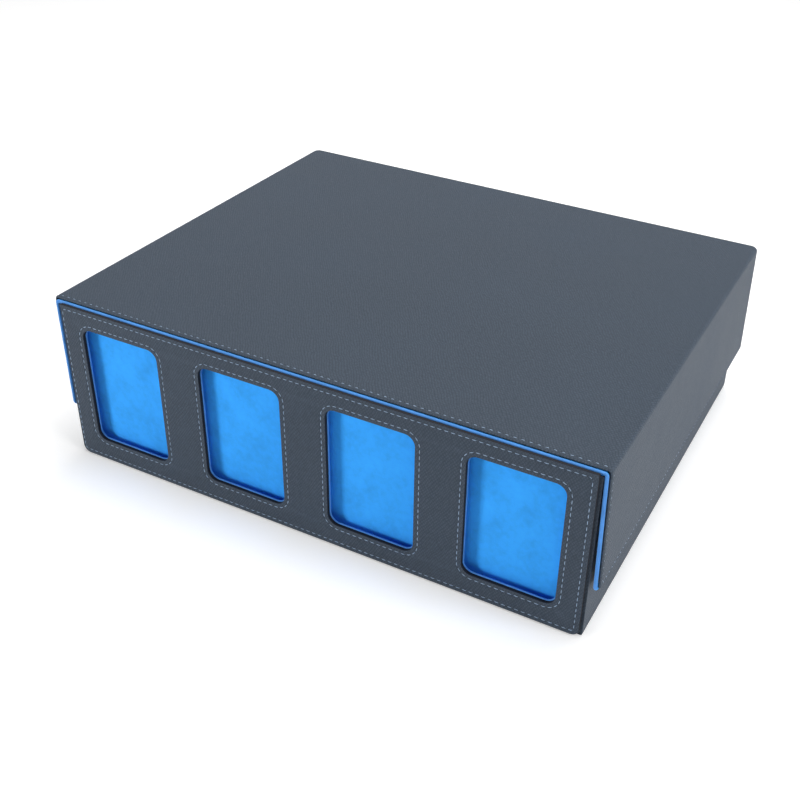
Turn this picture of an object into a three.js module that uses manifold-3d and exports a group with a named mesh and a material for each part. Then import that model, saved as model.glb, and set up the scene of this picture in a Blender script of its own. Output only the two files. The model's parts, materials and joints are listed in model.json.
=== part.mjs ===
// Card storage box: a shallow greyboard case covered in embossed leather cloth and lined in blue
// microfibre. A cover open at the front lifts off, and a stitched front panel shows four cards.
// Millimetres, +Z up, the windows face -Y, the origin lies on the ground below the box's middle.
import * as THREE from 'three';
import { RoundedBoxGeometry } from 'three/addons/geometries/RoundedBoxGeometry.js';
import { mergeVertices } from 'three/addons/utils/BufferGeometryUtils.js';
import Module from 'manifold-3d';

const wasm = await Module();
wasm.setup();

// Overall size
const overallWidth = 393;
const overallDepth = 325;
const overallHeight = 121.5;
const edgeRadius = 2.4;

// Sheets that make up a wall
const skinThickness = 0.9;
const boardThickness = 2;
const liningThickness = 0.9;
const glueLayer = 0.1;

// Lid
const lidEdgeHeight = 34.5;
const lidSideClearance = 2.5;
const lidRearClearance = 0.8;
const lidFrontGap = 0.3;
const lidSeatGap = 0.3;

// Underside of the base
const bottomSheetThickness = 0.5;
const bottomSheetInset = 3;
const hemWidth = 14;

// Row partitions
const rowCount = 4;
const partitionBoardThickness = 2.8;
const partitionDrop = 8;

// Front panel and its windows
const panelBoardThickness = 1.3;
const panelRise = 2;
const panelCornerRadius = 5.5;
const windowWidth = 61;
const windowSillMargin = 16.8;
const windowHeadMargin = 14.3;
const windowRadius = 7;
const backingLip = 0.5;

// Pockets behind the windows
const pocketDepth = 4.3;
const pocketSpacerWidth = 16.2;
const pocketSillDrop = 7.25;

// Fineness of the curves, and how far a cutting solid runs past what it cuts
const roundSegments = 3;
const cornerSegments = 6;
const overrun = 2;

// Depths below an outer face: to the board, to the lining and to the inside of the wall
const boardOffset = skinThickness + glueLayer;
const liningOffset = boardOffset + boardThickness + glueLayer;
const wallThickness = liningOffset + liningThickness;

// Places of the front panel's sheets, from the front backwards
const panelFront = -overallDepth / 2;
const panelBoardFront = panelFront + skinThickness + glueLayer;
const panelBoardBack = panelBoardFront + panelBoardThickness;
const backingFront = panelBoardBack + glueLayer;
const pocketFront = backingFront + liningThickness + glueLayer;
const backdropFront = pocketFront + pocketDepth + glueLayer;
const frontBoardFront = backdropFront + liningThickness + glueLayer;
const frontLiningFront = frontBoardFront + boardThickness + glueLayer;

// Outer faces of the lid and the base
const lidBlock = {
  x: [-overallWidth / 2, overallWidth / 2],
  y: [panelBoardBack + lidFrontGap, overallDepth / 2],
  z: [lidEdgeHeight, overallHeight],
};
const baseHalfWidth = overallWidth / 2 - wallThickness - lidSideClearance;
const baseBlock = {
  x: [-baseHalfWidth, baseHalfWidth],
  y: [backingFront, lidBlock.y[1] - wallThickness - lidRearClearance],
  z: [bottomSheetThickness + glueLayer, overallHeight - wallThickness - lidSeatGap],
};
const interior = {
  x: [-baseHalfWidth + wallThickness, baseHalfWidth - wallThickness],
  y: [frontLiningFront + liningThickness, baseBlock.y[1] - wallThickness],
  z: [baseBlock.z[0] + wallThickness, baseBlock.z[1]],
};

// The panel stands a little higher than the base's rim, in front of the lid's edge
const panelFoot = baseBlock.z[0];
const panelTop = baseBlock.z[1] + panelRise;
const windowSill = panelFoot + windowSillMargin;
const windowHeight = panelTop - windowHeadMargin - windowSill;

// Heights shared by the base's boards
const boardFoot = baseBlock.z[0] + boardOffset;
const boardTop = baseBlock.z[1] - liningThickness - glueLayer;
const floorBoardTop = boardFoot + boardThickness;
const wallFoot = floorBoardTop + glueLayer;
const betweenSides = [-baseHalfWidth + liningOffset, baseHalfWidth - liningOffset];

// Materials
const leatherCloth = { color: 0x4a535d, roughness: 0.62, metalness: 0 };
const microfibre = { color: 0x1673e6, roughness: 0.95, metalness: 0 };
const greyboard = { color: 0x8f887c, roughness: 0.9, metalness: 0 };

// A closed geometry as a solid that can be joined and cut
function solidOf(geometry) {
  geometry.deleteAttribute('normal');
  geometry.deleteAttribute('uv');
  const merged = mergeVertices(geometry);
  const vertProperties = new Float32Array(merged.attributes.position.array);
  const triVerts = new Uint32Array(merged.index.array);
  return new wasm.Manifold(new wasm.Mesh({ numProp: 3, vertProperties, triVerts }));
}

function geometryOf(solid) {
  const mesh = solid.getMesh();
  const geometry = new THREE.BufferGeometry();
  geometry.setAttribute('position', new THREE.BufferAttribute(mesh.vertProperties, 3));
  geometry.setIndex(new THREE.BufferAttribute(mesh.triVerts, 1));
  geometry.computeVertexNormals();
  return geometry;
}

// A block is the low and high place of a box along each axis
function blockSize(block) {
  return ['x', 'y', 'z'].map((axis) => block[axis][1] - block[axis][0]);
}

function blockCentre(block) {
  return ['x', 'y', 'z'].map((axis) => (block[axis][0] + block[axis][1]) / 2);
}

function boxSolid(block) {
  return solidOf(new THREE.BoxGeometry(...blockSize(block)).translate(...blockCentre(block)));
}

function roundedSolid(block, radius) {
  const geometry = new RoundedBoxGeometry(...blockSize(block), roundSegments, radius);
  return solidOf(geometry.translate(...blockCentre(block)));
}

// The lid's outer form drawn in by an inset, running past its open front and open underside
function lidLayer(inset) {
  const past = edgeRadius + overrun;
  return {
    x: [lidBlock.x[0] + inset, lidBlock.x[1] - inset],
    y: [lidBlock.y[0] - past, lidBlock.y[1] - inset],
    z: [lidBlock.z[0] - past, lidBlock.z[1] - inset],
  };
}

// The base's outer form drawn in by an inset, running past its open front and open top
function baseLayer(inset) {
  const past = edgeRadius + overrun;
  return {
    x: [baseBlock.x[0] + inset, baseBlock.x[1] - inset],
    y: [baseBlock.y[0] - past, baseBlock.y[1] - inset],
    z: [baseBlock.z[0] + inset, baseBlock.z[1] + past],
  };
}

const lidBoardForm = roundedSolid(lidLayer(boardOffset), edgeRadius - boardOffset);
const baseBoardForm = roundedSolid(baseLayer(boardOffset), edgeRadius - boardOffset);

function lidOuterSkin() {
  const outside = roundedSolid(lidLayer(0), edgeRadius);
  const inside = roundedSolid(lidLayer(skinThickness), edgeRadius - skinThickness);
  return outside.subtract(inside).intersect(boxSolid(lidBlock));
}

// The lid's lining turns outwards round the free edges of the boards, as far as the skin
function lidLining() {
  const hollow = boxSolid(lidLayer(wallThickness));
  const within = boxSolid(lidLayer(liningOffset)).intersect(boxSolid(lidBlock));
  const boardRoom = boxSolid({
    x: [lidBlock.x[0] - overrun, lidBlock.x[1] + overrun],
    y: [lidBlock.y[0] + liningThickness, lidBlock.y[1] + overrun],
    z: [lidBlock.z[0] + liningThickness, lidBlock.z[1] + overrun],
  });
  const turnedEdges = lidBoardForm.intersect(boxSolid(lidBlock)).subtract(boardRoom);
  return within.add(turnedEdges).subtract(hollow);
}

// A straight board of the lid, whose outer edges follow the skin's rounding
function lidBoard(block) {
  return boxSolid(block).intersect(lidBoardForm);
}

const lidBoardFront = lidBlock.y[0] + liningThickness + glueLayer;
const lidBoardFoot = lidBlock.z[0] + liningThickness + glueLayer;
const lidBoardRear = lidBlock.y[1] - boardOffset;
const lidBoardTop = lidBlock.z[1] - boardOffset;
const underLidTop = lidBoardTop - boardThickness - glueLayer;

function lidTopBoard() {
  return lidBoard({
    x: [lidBlock.x[0] + boardOffset, lidBlock.x[1] - boardOffset],
    y: [lidBoardFront, lidBoardRear],
    z: [lidBoardTop - boardThickness, lidBoardTop],
  });
}

function lidSideBoard(side) {
  const outer = lidBlock.x[1] - boardOffset;
  const reach = [outer - boardThickness, outer].map((place) => place * side);
  return lidBoard({
    x: reach.sort((a, b) => a - b),
    y: [lidBoardFront, lidBoardRear],
    z: [lidBoardFoot, underLidTop],
  });
}

function lidRearBoard() {
  return lidBoard({
    x: [lidBlock.x[0] + liningOffset, lidBlock.x[1] - liningOffset],
    y: [lidBoardRear - boardThickness, lidBoardRear],
    z: [lidBoardFoot, underLidTop],
  });
}

// One wrap round the sides and rear, with its hem turned in below the floor
function baseOuterSkin() {
  const outside = roundedSolid(baseLayer(0), edgeRadius);
  const inside = roundedSolid(baseLayer(skinThickness), edgeRadius - skinThickness);
  const insideHem = boxSolid({
    x: [baseBlock.x[0] + hemWidth, baseBlock.x[1] - hemWidth],
    y: [baseBlock.y[0] + hemWidth, baseBlock.y[1] - hemWidth],
    z: [baseBlock.z[0] - overrun, baseBlock.z[0] + overrun],
  });
  return outside.subtract(inside).subtract(insideHem).intersect(boxSolid(baseBlock));
}

function bottomSheet() {
  return boxSolid({
    x: [baseBlock.x[0] + bottomSheetInset, baseBlock.x[1] - bottomSheetInset],
    y: [baseBlock.y[0] + bottomSheetInset, baseBlock.y[1] - bottomSheetInset],
    z: [0, bottomSheetThickness],
  });
}

// The base's lining: a tray inside the walls, turned out over their top edges
function baseLining() {
  const tray = boxSolid({
    x: betweenSides,
    y: [frontLiningFront, baseBlock.y[1] - liningOffset],
    z: [wallFoot, baseBlock.z[1]],
  });
  const turnedEdges = baseBoardForm.intersect(boxSolid({
    x: baseBlock.x,
    y: [pocketFront, baseBlock.y[1]],
    z: [baseBlock.z[1] - liningThickness, baseBlock.z[1]],
  }));
  const hollow = boxSolid({ ...interior, z: [interior.z[0], baseBlock.z[1] + overrun] });
  const pocketMouths = boxSolid({
    x: interior.x,
    y: [pocketFront - overrun, backdropFront],
    z: [boardTop, baseBlock.z[1] + overrun],
  });
  return tray.add(turnedEdges).subtract(hollow).subtract(pocketMouths);
}

function baseBoard(block) {
  return boxSolid(block).intersect(baseBoardForm);
}

function floorBoard() {
  return baseBoard({
    x: betweenSides,
    y: [pocketFront, baseBlock.y[1] - liningOffset],
    z: [boardFoot, floorBoardTop],
  });
}

function sideWallBoard(side) {
  const outer = baseBlock.x[1] - boardOffset;
  const reach = [outer - boardThickness, outer].map((place) => place * side);
  return baseBoard({
    x: reach.sort((a, b) => a - b),
    y: [pocketFront, baseBlock.y[1] - boardOffset],
    z: [boardFoot, boardTop],
  });
}

function rearWallBoard() {
  const rear = baseBlock.y[1] - boardOffset;
  return baseBoard({ x: betweenSides, y: [rear - boardThickness, rear], z: [boardFoot, boardTop] });
}

function frontWallBoard() {
  return boxSolid({
    x: betweenSides,
    y: [frontBoardFront, frontBoardFront + boardThickness],
    z: [wallFoot, boardTop],
  });
}

// The rows between the partitions are all equally wide, and each has a window in front of it
const partitionThickness = partitionBoardThickness + 2 * (glueLayer + liningThickness);
const rowPitch = (interior.x[1] - interior.x[0] + partitionThickness) / rowCount;
const partitionTop = interior.z[1] - partitionDrop;
const partitionRun = [interior.y[0] + glueLayer, interior.y[1] - glueLayer];

function partitionCentre(index) {
  return (index - rowCount / 2) * rowPitch;
}

function partitionBoard(index) {
  const centre = partitionCentre(index);
  return boxSolid({
    x: [centre - partitionBoardThickness / 2, centre + partitionBoardThickness / 2],
    y: partitionRun,
    z: [interior.z[0] + glueLayer, partitionTop - liningThickness - glueLayer],
  });
}

// A cover folded over the top of its board and down both faces
function partitionCover(index) {
  const centre = partitionCentre(index);
  const innerHalf = partitionBoardThickness / 2 + glueLayer;
  const folded = boxSolid({
    x: [centre - partitionThickness / 2, centre + partitionThickness / 2],
    y: partitionRun,
    z: [interior.z[0] + glueLayer, partitionTop],
  });
  const boardRoom = boxSolid({
    x: [centre - innerHalf, centre + innerHalf],
    y: [partitionRun[0] - overrun, partitionRun[1] + overrun],
    z: [interior.z[0] - overrun, partitionTop - liningThickness],
  });
  return folded.subtract(boardRoom);
}

// Outline of a rounded rectangle standing on its lower edge, in the plane of the front
function roundedOutline(path, centre, width, bottom, height, radius) {
  const left = centre - width / 2;
  const right = centre + width / 2;
  const top = bottom + height;
  path.moveTo(left + radius, bottom);
  path.lineTo(right - radius, bottom);
  path.absarc(right - radius, bottom + radius, radius, -Math.PI / 2, 0);
  path.lineTo(right, top - radius);
  path.absarc(right - radius, top - radius, radius, 0, Math.PI / 2);
  path.lineTo(left + radius, top);
  path.absarc(left + radius, top - radius, radius, Math.PI / 2, Math.PI);
  path.lineTo(left, bottom + radius);
  path.absarc(left + radius, bottom + radius, radius, Math.PI, 1.5 * Math.PI);
  return path;
}

// Outline of the panel: square corners at the top, rounded ones at the bottom
function panelOutline() {
  const radius = panelCornerRadius;
  const outline = new THREE.Shape();
  outline.moveTo(-baseHalfWidth + radius, panelFoot);
  outline.lineTo(baseHalfWidth - radius, panelFoot);
  outline.absarc(baseHalfWidth - radius, panelFoot + radius, radius, -Math.PI / 2, 0);
  outline.lineTo(baseHalfWidth, panelTop);
  outline.lineTo(-baseHalfWidth, panelTop);
  outline.lineTo(-baseHalfWidth, panelFoot + radius);
  outline.absarc(-baseHalfWidth + radius, panelFoot + radius, radius, Math.PI, 1.5 * Math.PI);
  return outline;
}

function backingOutline() {
  const half = baseHalfWidth - boardOffset;
  const outline = new THREE.Shape();
  outline.moveTo(-half, boardFoot);
  outline.lineTo(half, boardFoot);
  outline.lineTo(half, baseBlock.z[1]);
  outline.lineTo(-half, baseBlock.z[1]);
  return outline;
}

function windowCentre(index) {
  return (index - (rowCount - 1) / 2) * rowPitch;
}

// A sheet parallel to the front with a window over each row, drawn in by a lip
function windowedSheet(outline, front, thickness, lip) {
  for (let index = 0; index < rowCount; index += 1) {
    outline.holes.push(roundedOutline(
      new THREE.Path(), windowCentre(index), windowWidth - 2 * lip,
      windowSill + lip, windowHeight - 2 * lip, windowRadius - lip,
    ));
  }
  const options = { depth: thickness, bevelEnabled: false, curveSegments: cornerSegments };
  const geometry = new THREE.ExtrudeGeometry(outline, options);
  return solidOf(geometry.rotateX(Math.PI / 2).translate(0, front + thickness, 0));
}

function panelFace() {
  return windowedSheet(panelOutline(), panelFront, skinThickness, 0);
}

function panelBoard() {
  return windowedSheet(panelOutline(), panelBoardFront, panelBoardThickness, 0);
}

function panelBacking() {
  const sheet = windowedSheet(backingOutline(), backingFront, liningThickness, backingLip);
  return sheet.intersect(baseBoardForm);
}

function displayBackdrop() {
  return boxSolid({
    x: betweenSides,
    y: [backdropFront, backdropFront + liningThickness],
    z: [wallFoot, boardTop],
  });
}

// A rigid holder of 76 x 102 mm stands on the sill, its card level with the window
const sillTop = windowSill - pocketSillDrop;
const pocketWidth = rowPitch - pocketSpacerWidth;

function pocketSill() {
  return boxSolid({
    x: betweenSides,
    y: [pocketFront, pocketFront + pocketDepth],
    z: [wallFoot, sillTop],
  });
}

// Upright strips that part the pockets: a spacer fills what two neighbouring pockets leave
function pocketSpacer(index) {
  const leftPocketEdge = windowCentre(index - 1) + pocketWidth / 2;
  const rightPocketEdge = windowCentre(index) - pocketWidth / 2;
  return boxSolid({
    x: [index === 0 ? betweenSides[0] : leftPocketEdge,
      index === rowCount ? betweenSides[1] : rightPocketEdge],
    y: [pocketFront, pocketFront + pocketDepth],
    z: [sillTop + glueLayer, boardTop],
  });
}

function addPiece(group, name, solid, look) {
  const mesh = new THREE.Mesh(geometryOf(solid), new THREE.MeshStandardMaterial(look));
  mesh.name = name;
  group.add(mesh);
}

function lidGroup() {
  const group = new THREE.Group();
  addPiece(group, 'lid_outer_skin', lidOuterSkin(), leatherCloth);
  addPiece(group, 'lid_top_board', lidTopBoard(), greyboard);
  addPiece(group, 'lid_left_board', lidSideBoard(-1), greyboard);
  addPiece(group, 'lid_right_board', lidSideBoard(1), greyboard);
  addPiece(group, 'lid_rear_board', lidRearBoard(), greyboard);
  addPiece(group, 'lid_lining', lidLining(), microfibre);
  return group;
}

function caseGroup() {
  const group = new THREE.Group();
  addPiece(group, 'base_outer_skin', baseOuterSkin(), leatherCloth);
  addPiece(group, 'base_bottom_sheet', bottomSheet(), leatherCloth);
  addPiece(group, 'floor_board', floorBoard(), greyboard);
  addPiece(group, 'left_wall_board', sideWallBoard(-1), greyboard);
  addPiece(group, 'right_wall_board', sideWallBoard(1), greyboard);
  addPiece(group, 'rear_wall_board', rearWallBoard(), greyboard);
  addPiece(group, 'front_wall_board', frontWallBoard(), greyboard);
  addPiece(group, 'base_lining', baseLining(), microfibre);
  for (let index = 1; index < rowCount; index += 1) {
    addPiece(group, `partition_${index}_board`, partitionBoard(index), greyboard);
    addPiece(group, `partition_${index}_cover`, partitionCover(index), microfibre);
  }
  return group;
}

function displayGroup() {
  const group = new THREE.Group();
  addPiece(group, 'display_panel_face', panelFace(), leatherCloth);
  addPiece(group, 'display_panel_board', panelBoard(), greyboard);
  addPiece(group, 'display_panel_backing', panelBacking(), microfibre);
  addPiece(group, 'display_backdrop', displayBackdrop(), microfibre);
  addPiece(group, 'pocket_sill', pocketSill(), microfibre);
  for (let index = 0; index <= rowCount; index += 1) {
    addPiece(group, `pocket_spacer_${index + 1}`, pocketSpacer(index), microfibre);
  }
  return group;
}

const cardStorageBox = new THREE.Group();
cardStorageBox.add(lidGroup(), caseGroup(), displayGroup());

export default cardStorageBox;
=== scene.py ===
# Card storage box: the cloth, lining, painted edges and stitching of a shallow box with a lift-off
# lid and four display windows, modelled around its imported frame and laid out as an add-on.
# Metres, +Z up, with lengths typed in millimetres. The windows face -Y, and the origin lies on the
# ground below the box's middle.
import json
import math
from contextlib import contextmanager

import bmesh
import bpy
from bpy.props import FloatProperty, FloatVectorProperty, PointerProperty
from mathutils import Matrix, Vector

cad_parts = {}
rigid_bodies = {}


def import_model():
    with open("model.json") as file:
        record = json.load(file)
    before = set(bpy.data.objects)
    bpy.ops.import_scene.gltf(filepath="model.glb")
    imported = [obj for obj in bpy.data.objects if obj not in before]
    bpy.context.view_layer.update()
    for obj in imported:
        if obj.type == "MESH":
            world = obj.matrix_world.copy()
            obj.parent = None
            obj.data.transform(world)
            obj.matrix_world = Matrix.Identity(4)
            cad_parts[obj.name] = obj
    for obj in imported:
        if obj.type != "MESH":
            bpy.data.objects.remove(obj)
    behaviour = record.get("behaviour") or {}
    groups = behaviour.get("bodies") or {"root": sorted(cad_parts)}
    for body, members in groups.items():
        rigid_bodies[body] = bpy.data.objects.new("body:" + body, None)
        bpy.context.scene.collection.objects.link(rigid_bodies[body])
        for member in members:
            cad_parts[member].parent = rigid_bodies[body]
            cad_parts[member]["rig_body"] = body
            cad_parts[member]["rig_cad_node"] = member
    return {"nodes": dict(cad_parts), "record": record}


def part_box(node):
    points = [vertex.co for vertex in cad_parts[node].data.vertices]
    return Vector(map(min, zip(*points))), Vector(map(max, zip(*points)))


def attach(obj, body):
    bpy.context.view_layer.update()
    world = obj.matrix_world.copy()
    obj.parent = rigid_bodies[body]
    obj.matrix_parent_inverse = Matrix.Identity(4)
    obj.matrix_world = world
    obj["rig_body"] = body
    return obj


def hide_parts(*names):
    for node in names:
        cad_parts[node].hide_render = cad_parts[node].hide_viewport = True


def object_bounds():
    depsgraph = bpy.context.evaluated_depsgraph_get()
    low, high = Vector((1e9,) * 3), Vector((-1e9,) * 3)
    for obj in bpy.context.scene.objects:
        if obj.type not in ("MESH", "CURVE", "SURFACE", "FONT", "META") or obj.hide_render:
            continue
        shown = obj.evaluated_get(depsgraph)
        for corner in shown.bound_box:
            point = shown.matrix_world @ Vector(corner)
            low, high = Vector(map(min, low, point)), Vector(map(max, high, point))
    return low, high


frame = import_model()
cad_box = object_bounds()

bl_info = {
    "name": "Card Storage Box",
    "version": (1, 0, 0),
    "blender": (4, 5, 0),
    "location": "3D View > Sidebar > Card Box",
    "description": "Models a lidded card storage box in leather cloth with a stitched window panel",
    "category": "Object",
}

MM = 0.001
AXES = {"x": 0, "y": 1, "z": 2}
WHITE = (1, 1, 1, 1)

# How near places count as one: on a plane, on a ring of an inset, for doubles and in a tiny arc
TOUCH = 0.02 * MM
SLACK = 0.05 * MM
DOUBLES = 0.005 * MM
TINY_ARC = 0.4 * MM

# A face looks along an axis past the first share of its normal, and squarely past the second
FACING = 0.7
SQUARE_ON = 0.99

# Faces are merged below the first angle and shaded smooth below the second; softened copies are
# rounded past the third, and cut edges of cloth and board past the fourth
FLAT_ANGLE = math.radians(1)
SMOOTH_ANGLE = math.radians(38)
SOFT_ANGLE = math.radians(40)
RIM_ANGLE = math.radians(60)

# Steps in which a rounding is made
RIM_STEPS = 2
SOFT_STEPS = 3
ARRIS_STEPS = 4
FOLD_STEPS = 5
CORNER_STEPS = 6
OUTLINE_STEPS = 8
WINDOW_STEPS = 10


def length(name, description, millimetres):
    return FloatProperty(
        name=name, description=description, default=millimetres * MM, unit="LENGTH", precision=5,
    )


def angle(name, description, degrees):
    return FloatProperty(name=name, description=description, default=math.radians(degrees), subtype="ANGLE")


def share(name, description, default):
    return FloatProperty(
        name=name, description=description, default=default, subtype="FACTOR", min=0, max=1,
    )


def watts(name, description, default):
    return FloatProperty(name=name, description=description, default=default, unit="POWER")


def colour(name, description, default):
    return FloatVectorProperty(
        name=name, description=description, default=default, subtype="COLOR", min=0, max=1,
    )


def position(name, description, default):
    return FloatVectorProperty(
        name=name, description=description, default=default, subtype="TRANSLATION", unit="LENGTH",
        precision=5,
    )


# What a user would change


class LidSizes(bpy.types.PropertyGroup):
    """Sizes of the lid's cloth and lining"""

    wall: length("Wall", "Thickness of a wall from its cloth to its lining", 4.0)
    cloth: length("Cloth", "Thickness of the leather cloth", 0.9)
    lining: length("Lining", "Thickness of the microfibre lining", 0.9)
    fold_radius: length("Fold radius", "Radius of the cloth over the top edges", 2.6)
    corner_radius: length("Corner radius", "Radius of the upright corners at the rear", 5.6)
    front_radius: length("Front radius", "Radius of the side walls' lower front corners", 4.0)
    bead_radius: length("Bead radius", "Radius of the lining where it turns round a free edge", 1.15)
    turn_radius: length("Turn radius", "Radius of the lining in the lid's inner corners", 0.35)
    bead_reach: length("Bead reach", "How far the turned lining stands out past the cloth", 1.6)
    bead_depth: length("Bead depth", "How far the bead's outer side lies below the cloth", 1.6)
    tuck_short: length("Tuck short", "How much less than the front radius the lining tucks in", 0.8)
    board_setback: length("Board setback", "How far the boards stop short of the turned lining", 3.5)
    board_gap: length("Board gap", "From the cloth to the boards at the rear corners", 0.1)
    board_arris: length("Board arris", "Rounding of the boards at their edges", 0.15)
    roll: length("Roll", "How far the cloth turns in at its free edge", 0.9)
    roll_width: length("Roll width", "Width of each step of the rolled edge", 0.65)
    cloth_arris: length("Cloth arris", "Rounding of the cloth at its cut edges", 0.3)
    lean_left: length("Left lean", "How far the left wall leans in at the top", 0.1)
    lean_right: length("Right lean", "How far the right wall leans in at the top", 2.4)
    front_lift: length("Front lift", "How much higher the lower edge is at the front", 1.4)


class BaseSizes(bpy.types.PropertyGroup):
    """Sizes of the base's cloth and of the softened pieces inside it"""

    fold_radius: length("Fold radius", "Radius of the cloth under the walls", 1.2)
    cloth_arris: length("Cloth arris", "Rounding of the cloth at its cut edges", 0.25)
    sheet_arris: length("Sheet arris", "Rounding of the sheet below the floor", 0.2)
    corner_radius: length("Corner radius", "Radius of the upright corners at the rear", 2.0)
    hem: length("Hem", "Width of the cloth turned in below the floor", 14)
    return_width: length("Return", "Width of the cloth turned over the walls' front ends", 2.8)
    rim_radius: length("Rim radius", "Rounding of the lining over the walls' top edges", 0.7)
    partition_radius: length("Partition radius", "Rounding of the fold on a partition", 1.6)


class PanelSizes(bpy.types.PropertyGroup):
    """Sizes of the front panel and its windows"""

    window_width: length("Window width", "Width of a window", 61)
    window_height: length("Window height", "Height of a window", 87.5)
    window_radius: length("Window radius", "Radius of a window's corners", 7)
    corner_radius: length("Corner radius", "Radius of the panel's lower corners", 5.5)
    side_recess: length("Side recess", "How far the panel stops short of the base's sides", 1.5)
    lip: length("Lip", "How far the backing shows inside a window", 0.5)
    plain_ring: length("Plain ring", "Width of the ring along an edge that isn't sewn", 1.0)
    board_recess: length("Board recess", "How far the board lies behind the cloth's outline", 0.3)
    backing_recess: length("Backing recess", "How far the backing lies behind its outline", 0.5)
    arris: length("Arris", "Rounding of the cloth at an edge of the panel", 0.6)
    board_arris: length("Board arris", "Rounding of the painted board at its edges", 0.15)
    backing_arris: length("Backing arris", "Rounding of the backing inside a window", 0.4)


class StitchSizes(bpy.types.PropertyGroup):
    """Sizes of the thread and places of its rows"""

    pitch: length("Pitch", "Distance from one stitch to the next on the panel", 4.35)
    lid_pitch: length("Lid pitch", "Distance from one stitch to the next on the lid", 4.85)
    stitch: length("Stitch", "Length of one stitch", 2.9)
    thread: length("Thread", "Width of the thread", 0.75)
    groove_depth: length("Groove depth", "How deep a row pulls the cloth in", 0.3)
    groove_width: length("Groove width", "Width of the dip along a row", 1.6)
    lid_groove_width: length("Lid groove width", "Width of the dip along the lid's row", 1.0)
    flat_ring: length("Flat ring", "Width of the flat ring past the dip", 0.3)
    border_margin: length("Border margin", "From the panel's edge to its row", 3.1)
    border_shift: length("Border shift", "How much further in the row runs at the right", 1.8)
    window_margin: length("Window margin", "From a window's edge to its row", 3.2)
    lid_margin: length("Lid margin", "From the lid's free edges to their row", 4.4)


class Finishes(bpy.types.PropertyGroup):
    """Colours of the materials"""

    cloth: colour("Leather cloth", "Dark slate embossed cloth", (0.046, 0.061, 0.083))
    thread: colour("Thread", "Light grey-blue sewing thread", (0.27, 0.38, 0.54))
    microfibre: colour("Microfibre", "Bright blue lining", (0.038, 0.37, 0.97))
    # Painted sheen and shade: the colour of the lining's bead and the backing's lip, paler than the lining
    # for a sheen highlight and darker for the shade it lies in
    worn_microfibre: colour(
        "Worn microfibre", "The lining where it is stretched and rubbed pale", (0.085, 0.28, 0.70),
    )
    edge_paint: colour("Edge paint", "Black paint on the panel board's edges", (0.012, 0.013, 0.018))
    greyboard: colour("Greyboard", "Raw board inside the walls", (0.275, 0.246, 0.202))
    floor: colour("Floor", "White studio floor", (0.86, 0.86, 0.86))


class StudioSettings(bpy.types.PropertyGroup):
    """Camera, lamps and floor"""

    camera_place: position("Camera place", "Where the camera stands", (0.31755, -0.62053, 0.46938))
    heading: angle("Heading", "Turn of the camera about the vertical", 26.79)
    tilt: angle("Tilt", "Turn of the camera up from straight down", 57.34)
    roll: angle("Roll", "Turn of the camera about its own view", 1.73)
    focal_length: FloatProperty(
        name="Focal length", description="Focal length for a 36 mm sensor", default=49.61, unit="CAMERA",
    )
    shift_x: FloatProperty(name="Shift X", description="Sideways shift of the picture", default=-0.0371)
    shift_y: FloatProperty(name="Shift Y", description="Upward shift of the picture", default=-0.0131)
    key_place: position("Key place", "Where the lamp on the right hangs", (1.9, -0.2, 0.9))
    key_size: length("Key size", "Side of the lamp on the right", 1300)
    key_power: watts("Key power", "Power of the lamp on the right", 26.5)
    fill_place: position("Fill place", "Where the lamp in front stands", (-1.5, -1.7, 0.32))
    fill_size: length("Fill size", "Side of the lamp in front", 600)
    fill_power: watts("Fill power", "Power of the lamp in front", 29)
    top_place: position("Top place", "Where the lamp overhead hangs", (0.1, 0.5, 2.2))
    top_size: length("Top size", "Side of the lamp overhead", 1800)
    top_power: watts("Top power", "Power of the lamp overhead", 45)
    sky: share("Sky", "Strength of the light from all round", 0.14)
    floor_size: length("Floor size", "Side of the floor", 3000)
    floor_drop: length("Floor drop", "How far the floor lies below the box", 0.1)
    floor_glow: share("Floor glow", "Light that the floor adds where it is seen", 0.35)


# Shading: expressions on sockets, and one method that adds any node


class Value:
    """A number that varies over a surface; an expression on values adds its Math nodes."""

    def __init__(self, finish, socket):
        self.finish = finish
        self.socket = socket

    def math(self, operation, *values, clamp=False):
        return self.finish.value("Math", values, operation=operation, use_clamp=clamp)

    def __add__(self, other):
        return self.math("ADD", self, other)

    def __sub__(self, other):
        return self.math("SUBTRACT", self, other)

    def __mul__(self, other):
        return self.math("MULTIPLY", self, other)

    def __radd__(self, other):
        return self.math("ADD", other, self)

    def __rsub__(self, other):
        return self.math("SUBTRACT", other, self)

    def __rmul__(self, other):
        return self.math("MULTIPLY", other, self)

    def __abs__(self):
        return self.math("ABSOLUTE", self)

    def __gt__(self, other):
        return self.math("GREATER_THAN", self, other)

    def sine(self):
        return self.math("SINE", self)

    def least(self, other):
        return self.math("MINIMUM", self, other)

    def power(self, exponent):
        return self.math("POWER", self, exponent)


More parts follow.
